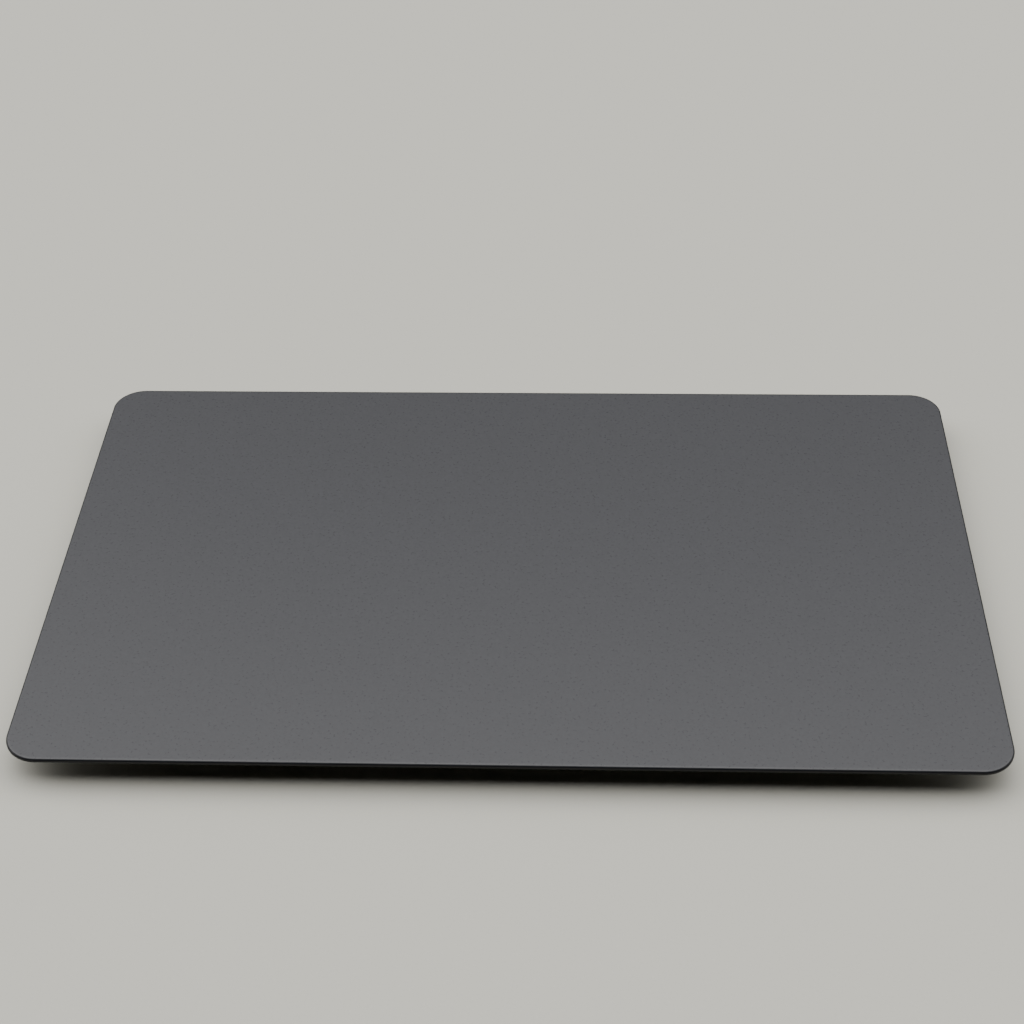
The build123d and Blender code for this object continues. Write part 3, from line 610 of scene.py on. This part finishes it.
def pad_metal():
    """Aluminium buttons, turned: white metal with the tool's rings on their faces."""
    low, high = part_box("load_pad_back_right")
    middle = (low + high) / 2
    made = rolled_metal(
        "turned_aluminium", "#a3a4a6", "#bcbdbf", roughness=(0.25, 0.34), stretch=(4, 4, 1),
        relief=0.001,
    )
    made.raise_by(made.rings(middle.x, middle.y, pitch=0.15), relief=0.003)
    return made.material


def gel_silicone():
    """Silicone gel, cast: cloudy grey-blue that lets light in, tacky and half glossy."""
    return Finish(
        "cast_silicone_gel", linear("#7d838a"), linear("#8f959b"), roughness=(0.3, 0.45), grain=0.8,
        relief=0.004, Subsurface_Weight=0.5, Subsurface_Scale=0.0008, IOR=1.41,
    ).material


def stop_rubber():
    """Nitrile rubber, compression-moulded: matt black with a fine bloom."""
    made = Finish(
        "moulded_nitrile_rubber", linear("#111111"), linear("#1a1a19"), roughness=(0.72, 0.88),
        grain=0.12, relief=0.006,
    )
    made.paint(made.grain(width=0.9, start=0.6, share=0.35), linear("#2a2a29"))
    return made.material


def floor_board():
    """Sized paper board, calendered: warm pale grey, matt, with a faint fibre."""
    studio = bpy.context.scene.trackpad_studio
    return Finish(
        "calendered_paper_board", studio.floor_colour, linear("#d0cfc6"), roughness=(0.88, 0.94),
        grain=0.5, relief=0.004, Specular_IOR_Level=0.2,
    ).material


def finish_nodes(material, *nodes):
    """Give one new material to these pieces of the frame."""
    for name in nodes:
        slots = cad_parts[name].data.materials
        slots.clear()
        slots.append(material)


def corner_nodes(stem):
    """The names of a piece that each corner has."""
    return [f"{stem}_{corner}" for corner in CORNERS]


def new_piece(name, mesh, body, slot, *replaced):
    """Put a finished mesh in the scene as a piece of a body, in place of pieces of the frame."""
    piece = bpy.data.objects.new(name, mesh)
    bpy.context.scene.collection.objects.link(piece)
    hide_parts(*replaced)
    if body:
        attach(piece, body)
    return piece


def ringed_mesh(name, rings, materials, row_materials=None, looped=False):
    """A closed surface from rings of points, shaped (rings, points, 3).

    Each ring is joined to the next by a row of quads. The first and last are closed by a flat
    face, or joined to each other where the surface is looped. The points run anticlockwise as
    seen from the last ring's side, so the faces point outwards. The row materials, if any, number
    the material of the first flat face, of each row and of the last flat face.
    """
    count, around = rings.shape[:2]
    here = np.arange(around)
    after = np.roll(here, -1)
    low = (np.arange(count if looped else count - 1) * around)[:, None]
    high = (low + around) % (count * around)
    quads = np.stack([low + here, low + after, high + after, high + here], axis=-1)
    faces = quads.reshape(-1, 4).tolist()
    if not looped:
        faces += [here[::-1].tolist(), (here + (count - 1) * around).tolist()]
    mesh = bpy.data.meshes.new(name)
    mesh.from_pydata(rings.reshape(-1, 3), [], faces)
    for material in materials:
        mesh.materials.append(material)
    if row_materials is not None:
        indices = np.concatenate(
            [np.repeat(row_materials[1:-1], around), row_materials[[0, -1]]]
        )
        mesh.polygons.foreach_set("material_index", indices.astype(np.int32))
    mesh.polygons.foreach_set("use_smooth", np.ones(len(mesh.polygons), bool))
    mesh.set_sharp_from_angle(angle=SHARP_ANGLE)
    mesh.update()
    return mesh


def rounded_outline(half_width, half_depth, corner, inset, segments, side_steps=1):
    """Points round a rectangle with round corners, anticlockwise: each corner's centre plus its
    radius less the inset, along the direction of the angle.

    The side to the right, which closes the outline, is cut into that many steps. Inset is a
    column with one value for each ring, or has a value for each ring and point.
    """
    turns = [quarter * pi / 2 + np.linspace(0, pi / 2, segments + 1) for quarter in range(4)]
    angle = np.concatenate([*turns, np.full(side_steps - 1, 2 * pi)])
    side = np.concatenate([np.repeat([1, -1, -1, 1], segments + 1), np.ones(side_steps - 1)])
    end = np.concatenate(
        [np.repeat([1, 1, -1, -1], segments + 1), np.linspace(-1, 1, side_steps + 1)[1:-1]]
    )
    x = side * (half_width - corner) + (corner - inset) * np.cos(angle)
    y = end * (half_depth - corner) + (corner - inset) * np.sin(angle)
    return x, y


def glass_profile(glass):
    """The cover glass's inset from its outline and its height, from the underside to the face.

    The ground edge turns a quarter of a circle at the bottom and at the top. Inwards of it the
    etched face lies below the flat by the roll's drop times the square of the share of the roll's
    width that is left.
    """
    radius = glass.edge_radius
    turn = np.linspace(0, pi / 2, GLASS_EDGE_STEPS + 1)
    roll = np.linspace(0, 1, GLASS_ROLL_STEPS + 1)[1:]
    flat = [radius + FLAT_START * glass.roll_width]
    inset = np.concatenate([
        flat, radius * (1 - np.sin(turn)), radius * (1 - np.cos(turn)),
        radius + glass.roll_width * roll, flat,
    ])
    height = np.concatenate([
        [GLASS_LOW.z], GLASS_LOW.z + radius * (1 - np.cos(turn)),
        GLASS_HIGH.z - glass.roll_drop - radius * (1 - np.sin(turn)),
        GLASS_HIGH.z - glass.roll_drop * (1 - roll) ** 2, [GLASS_HIGH.z],
    ])
    return inset[:, None], height[:, None]


class TRACKPAD_OT_cover_glass(bpy.types.Operator):
    """Make the cover glass, with its ground edge"""

    bl_idname = "trackpad.cover_glass"
    bl_label = "Cover Glass"

    def execute(self, context):
        inset, height = glass_profile(context.scene.trackpad_glass)
        x, y = rounded_outline(
            GLASS_HIGH.x, GLASS_HIGH.y, GLASS_CORNER, inset, PLATE_TURN_SEGMENTS
        )
        rings = np.stack([x, y, np.broadcast_to(height, x.shape)], axis=-1)
        materials = [etched_glass(), ground_edge(), screen_ink()]
        # Ink on the underside and the row round it, then the ground edge, then the etched face
        row_materials = np.repeat([2, 1, 0], [2, 2 * GLASS_EDGE_STEPS + 1, GLASS_ROLL_STEPS + 2])
        mesh = ringed_mesh("cover_glass_etched", rings, materials, row_materials)
        new_piece("cover_glass_etched", mesh, "plate", "etched_glass", "cover_glass")
        return {"FINISHED"}


class TRACKPAD_OT_plate_stack(bpy.types.Operator):
    """Finish the plate's sheets and metal parts, and the tray and nuts of the same metals"""

    bl_idname = "trackpad.plate_stack"
    bl_label = "Plate Stack"

    def execute(self, context):
        finish_nodes(adhesive_sheet(), "glass_bond")
        finish_nodes(board_mask(), "sensor_board")
        finish_nodes(stainless_sheet(), "stiffener_plate", "engine_base")
        finish_nodes(plated_iron(), "armature_rail")
        finish_nodes(turned_steel(), "plate_bosses", "clinch_nuts")
        return {"FINISHED"}


class TRACKPAD_OT_electronics(bpy.types.Operator):
    """Finish the chips, the can, the sockets and the latch"""

    bl_idname = "trackpad.electronics"
    bl_label = "Electronics"

    def execute(self, context):
        finish_nodes(
            chip_epoxy(), "touch_controller", "system_controller", "force_amplifier",
            "haptic_driver",
        )
        finish_nodes(lid_metal(), "accelerometer", "clock_crystal")
        finish_nodes(capacitor_ceramic(), "passive_components")
        finish_nodes(tinned_sheet(), "shield_can")
        finish_nodes(socket_polymer(), "host_socket", "flex_socket")
        finish_nodes(latch_polymer(), "socket_latch")
        finish_nodes(contact_gold(), "socket_contacts")
        return {"FINISHED"}


class TRACKPAD_OT_mount(bpy.types.Operator):
    """Finish the mount frame, its screws, pads and stops"""

    bl_idname = "trackpad.mount"
    bl_label = "Mount Frame"

    def execute(self, context):
        finish_nodes(frame_steel(), "mount_frame")
        finish_nodes(
            blackened_screw(), "flexure_screws", "engine_screws", "core_screws", "armature_screws"
        )
        finish_nodes(pad_metal(), *corner_nodes("load_pad"))
        finish_nodes(stop_rubber(), "press_stops")
        return {"FINISHED"}


def merged_copy(node):
    """A copy of a frame piece's mesh with its loose triangles joined."""
    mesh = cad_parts[node].data.copy()
    work = bmesh.new()
    work.from_mesh(mesh)
    bmesh.ops.remove_doubles(work, verts=work.verts, dist=JOIN_REACH)
    work.to_mesh(mesh)
    work.free()
    return mesh


def cut_across(mesh, places):
    """Cut a mesh by planes square to X."""
    work = bmesh.new()
    work.from_mesh(mesh)
    for place in places:
        bmesh.ops.bisect_plane(
            work, geom=work.verts[:] + work.edges[:] + work.faces[:], dist=CUT_REACH,
            plane_co=(place, 0, 0), plane_no=(1, 0, 0),
        )
    work.to_mesh(mesh)
    work.free()


class TRACKPAD_OT_springs(bpy.types.Operator):
    """Make the leaf springs and strain gauges, cut across at their necks"""

    bl_idname = "trackpad.springs"
    bl_label = "Leaf Springs"

    def execute(self, context):
        soft = context.scene.trackpad_soft
        neck_start, neck_end = soft.neck_start, soft.neck_end
        cuts = np.linspace(neck_start, neck_end, soft.neck_cuts)
        for stem, slot, material in (
            ("flexure", "spring_steel", spring_steel()),
            ("strain_gauge", "gauge_foil", gauge_film()),
        ):
            for node in corner_nodes(stem):
                side = -1 if node.endswith("left") else 1
                mesh = merged_copy(node)
                cut_across(mesh, side * cuts)
                mesh.materials.clear()
                mesh.materials.append(material)
                piece = new_piece(f"{node}_bent", mesh, None, slot, node)
                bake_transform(piece)
        return {"FINISHED"}


def gel_rings(low, high, bulge):
    """Rings of a round gel pad, from its bottom to its top.

    The radius is half the width less the bulge, plus the bulge times the sine of half a turn
    over the height.
    """
    middle, radius = (low + high) / 2, (high.x - low.x) / 2
    angle = np.linspace(0, 2 * pi, GEL_SEGMENTS, endpoint=False)
    share = np.linspace(0, 1, GEL_STEPS + 1)[:, None]
    waist = radius - bulge + bulge * np.sin(pi * share)
    x = middle.x + waist * np.cos(angle)
    y = middle.y + waist * np.sin(angle)
    z = np.broadcast_to(low.z + (high.z - low.z) * share, x.shape)
    return np.stack([x, y, z], axis=-1)


class TRACKPAD_OT_gel_pads(bpy.types.Operator):
    """Make the gel pads, which shear between the springs and the plate"""

    bl_idname = "trackpad.gel_pads"
    bl_label = "Gel Pads"

    def execute(self, context):
        bulge = context.scene.trackpad_soft.gel_bulge
        material = gel_silicone()
        for node in corner_nodes("gel_pad"):
            low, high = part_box(node)
            mesh = ringed_mesh(f"{node}_cast", gel_rings(low, high, bulge), [material])
            piece = new_piece(f"{node}_cast", mesh, None, "gel_silicone", node)
            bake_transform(piece)
        return {"FINISHED"}


class TRACKPAD_OT_flexes(bpy.types.Operator):
    """Finish the flat flexes, and make the tail that rolls up to the board"""

    bl_idname = "trackpad.flexes"
    bl_label = "Flexes"

    def execute(self, context):
        finish_nodes(
            polyimide("laminated_polyimide_frame_flex", pitch=0.4, tracks_along="both"),
            "frame_flex",
        )
        finish_nodes(
            polyimide("laminated_polyimide_coil_flex", pitch=0.4, tracks_along="X"), "coil_flex"
        )
        socket_low, socket_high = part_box("flex_socket")
        mesh = merged_copy("link_tail")
        places = np.empty((len(mesh.vertices), 3), np.float32)
        mesh.vertices.foreach_get("co", places.ravel())
        # The end in the socket draws back, so that the plate has room to shift
        in_socket = (places[:, 1] < socket_high.y) & (places[:, 2] > socket_low.z)
        places[in_socket, 1] += context.scene.trackpad_soft.tail_slack
        mesh.vertices.foreach_set("co", places.ravel())
        mesh.materials.clear()
        mesh.materials.append(polyimide("laminated_polyimide_tail", pitch=0.5, tracks_along="Y"))
        piece = new_piece("link_tail_rolled", mesh, None, "polyimide_flex", "link_tail")
        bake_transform(piece)
        return {"FINISHED"}


def coil_rings(low, high, soft):
    """Rings of a coil of round wire, wound side by side about a bore that runs along Y.

    They are rectangles with round corners, which run along the outside from back to front, where
    each turn stands up as half a circle, and return along the bore. A turn crosses over to the
    next along the right side: there the ridges' place shifts by one turn from the bottom to the
    top.
    """
    middle, half = (low + high) / 2, (high - low) / 2
    turns = round(2 * half.y / soft.wire_width)
    share = np.linspace(0, 1, turns * COIL_RIDGE_STEPS + 1)[:, None]
    crossing = np.concatenate([
        np.zeros(4 * (COIL_TURN_SEGMENTS + 1)), np.linspace(0, 1, COIL_CROSSING_STEPS + 1)[1:-1]
    ])
    off_crest = 2 * ((turns * share + crossing) % 1) - 1
    inset = soft.wire_width / 2 * (1 - np.sqrt(1 - off_crest ** 2))
    outer_x, outer_z = rounded_outline(
        half.x, half.z, soft.coil_corner, inset, COIL_TURN_SEGMENTS, COIL_CROSSING_STEPS
    )
    bore_x, bore_z = rounded_outline(
        half.x - soft.coil_build, half.z - soft.coil_build, soft.bore_corner, np.zeros((2, 1)),
        COIL_TURN_SEGMENTS, COIL_CROSSING_STEPS,
    )
    x = middle.x + np.concatenate([outer_x, bore_x])
    z = middle.z + np.concatenate([outer_z, bore_z])
    y = np.concatenate([high.y - 2 * half.y * share, [[low.y], [high.y]]])
    return np.stack([x, np.broadcast_to(y, x.shape), z], axis=-1)


class TRACKPAD_OT_engine(bpy.types.Operator):
    """Finish the haptic engine and wind its coils"""

    bl_idname = "trackpad.engine"
    bl_label = "Haptic Engine"

    def execute(self, context):
        soft = context.scene.trackpad_soft
        finish_nodes(laminated_iron(), "engine_core")
        finish_nodes(
            glass_filled_moulding(), "core_spacer", *(f"bobbin_{index}" for index in POLES)
        )
        copper = enamelled_copper()
        for index in POLES:
            node = f"coil_{index}"
            rings = coil_rings(*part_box(node), soft)
            mesh = ringed_mesh(f"{node}_wound", rings, [copper], looped=True)
            new_piece(f"{node}_wound", mesh, "base", "copper_winding", node)
        return {"FINISHED"}


def light_tent(studio):
    """The studio's light: a white tent over the table, open towards the camera.

    The tent's light is worked out from the direction alone. It starts where the direction leans
    behind a plane that rises from the table to the front, fades out low at the back, is dim near
    the table, and is a little stronger from the left and in the middle. To the camera the walls
    look as pale as the floor.
    """
    world = bpy.data.worlds.new("light_tent")
    world.use_nodes = True
    tree = world.node_tree
    direction = add_node(tree, "ShaderNodeTexCoord").outputs["Generated"]
    right, back, up = add_node(tree, "ShaderNodeSeparateXYZ", {0: direction}).outputs
    lean = add_node(
        tree, "ShaderNodeMath", {0: up, 1: studio.front_lean, 2: back}, operation="MULTIPLY_ADD"
    ).outputs[0]
    aside = add_node(tree, "ShaderNodeMath", {0: right}, operation="ABSOLUTE").outputs[0]
    light = studio.tent_strength
    for value, (start, end, start_share, end_share) in (
        (lean, LEAN_SHARES), (back, BACK_SHARES), (right, RIGHT_SHARES), (aside, ASIDE_SHARES),
        (up, UP_SHARES),
    ):
        share = add_node(
            tree, "ShaderNodeMapRange",
            {
                "Value": value, "From Min": start, "From Max": end, "To Min": start_share,
                "To Max": end_share,
            },
        ).outputs[0]
        light = add_node(
            tree, "ShaderNodeMath", {0: share, 1: light}, operation="MULTIPLY"
        ).outputs[0]
    seen = add_node(tree, "ShaderNodeLightPath").outputs["Is Camera Ray"]
    strength = add_node(
        tree, "ShaderNodeMapRange",
        {"Value": seen, "To Min": light, "To Max": studio.wall_strength},
    ).outputs[0]
    background = tree.nodes["Background"]
    background.inputs["Color"].default_value = studio.tent_colour
    tree.links.new(strength, background.inputs["Strength"])
    return world


class TRACKPAD_OT_stage(bpy.types.Operator):
    """Set the floor, the light and the camera"""

    bl_idname = "trackpad.stage"
    bl_label = "Stage"

    def execute(self, context):
        scene = context.scene
        studio = scene.trackpad_studio
        half = studio.floor_size / 2
        corners = [(-half, -half, 0), (half, -half, 0), (half, half, 0), (-half, half, 0)]
        mesh = bpy.data.meshes.new("floor")
        mesh.from_pydata(corners, [], [(0, 1, 2, 3)])
        mesh.transform(Matrix.Translation((0, 0, cad_low.z - FLOOR_GAP)))
        mesh.materials.append(floor_board())
        floor = bpy.data.objects.new("floor", mesh)
        scene.collection.objects.link(floor)

        scene.world = light_tent(studio)

        # The camera turns to the right, tilts down, and then rolls about its own view
        turn, tilt, roll = studio.camera_azimuth, studio.camera_elevation, studio.camera_roll
        ahead = Vector((sin(turn) * cos(tilt), cos(turn) * cos(tilt), -sin(tilt)))
        right = ahead.cross(Vector((0, 0, 1))).normalized()
        up = right.cross(ahead)
        across = cos(roll) * right + sin(roll) * up
        above = -sin(roll) * right + cos(roll) * up
        camera = bpy.data.objects.new("camera", bpy.data.cameras.new("camera"))
        camera.data.lens = studio.lens
        camera.data.sensor_width = SENSOR_WIDTH
        camera.data.clip_start = CLIP_START
        camera.matrix_world = Matrix.Translation(studio.camera_place) @ (
            Matrix((across, above, -ahead)).transposed().to_4x4()
        )
        scene.collection.objects.link(camera)
        scene.camera = camera
        return {"FINISHED"}


GROUPS = {
    "trackpad_glass": TrackpadGlass,
    "trackpad_soft": TrackpadSoft,
    "trackpad_studio": TrackpadStudio,
}
OPERATORS = (
    TRACKPAD_OT_cover_glass,
    TRACKPAD_OT_plate_stack,
    TRACKPAD_OT_electronics,
    TRACKPAD_OT_mount,
    TRACKPAD_OT_springs,
    TRACKPAD_OT_gel_pads,
    TRACKPAD_OT_flexes,
    TRACKPAD_OT_engine,
    TRACKPAD_OT_stage,
)


class TRACKPAD_PT_panel(bpy.types.Panel):
    """Lists the trackpad's sizes and colours, and the operators that make its pieces"""

    bl_label = "Trackpad"
    bl_idname = "TRACKPAD_PT_panel"
    bl_space_type = "VIEW_3D"
    bl_region_type = "UI"
    bl_category = "Trackpad"

    def draw(self, context):
        for name, group in GROUPS.items():
            box = self.layout.box()
            for key in group.__annotations__:
                box.prop(getattr(context.scene, name), key)
        for operator in OPERATORS:
            self.layout.operator(operator.bl_idname)


CLASSES = (*GROUPS.values(), *OPERATORS, TRACKPAD_PT_panel)


def register():
    for each in CLASSES:
        bpy.utils.register_class(each)
    for name, group in GROUPS.items():
        setattr(bpy.types.Scene, name, bpy.props.PointerProperty(type=group))


def unregister():
    for name in GROUPS:
        delattr(bpy.types.Scene, name)
    for each in reversed(CLASSES):
        bpy.utils.unregister_class(each)


def main():
    """Make every piece in order."""
    register()
    for operator in OPERATORS:
        group, name = operator.bl_idname.split(".")
        getattr(getattr(bpy.ops, group), name)()


if __name__ == "__main__":
    main()
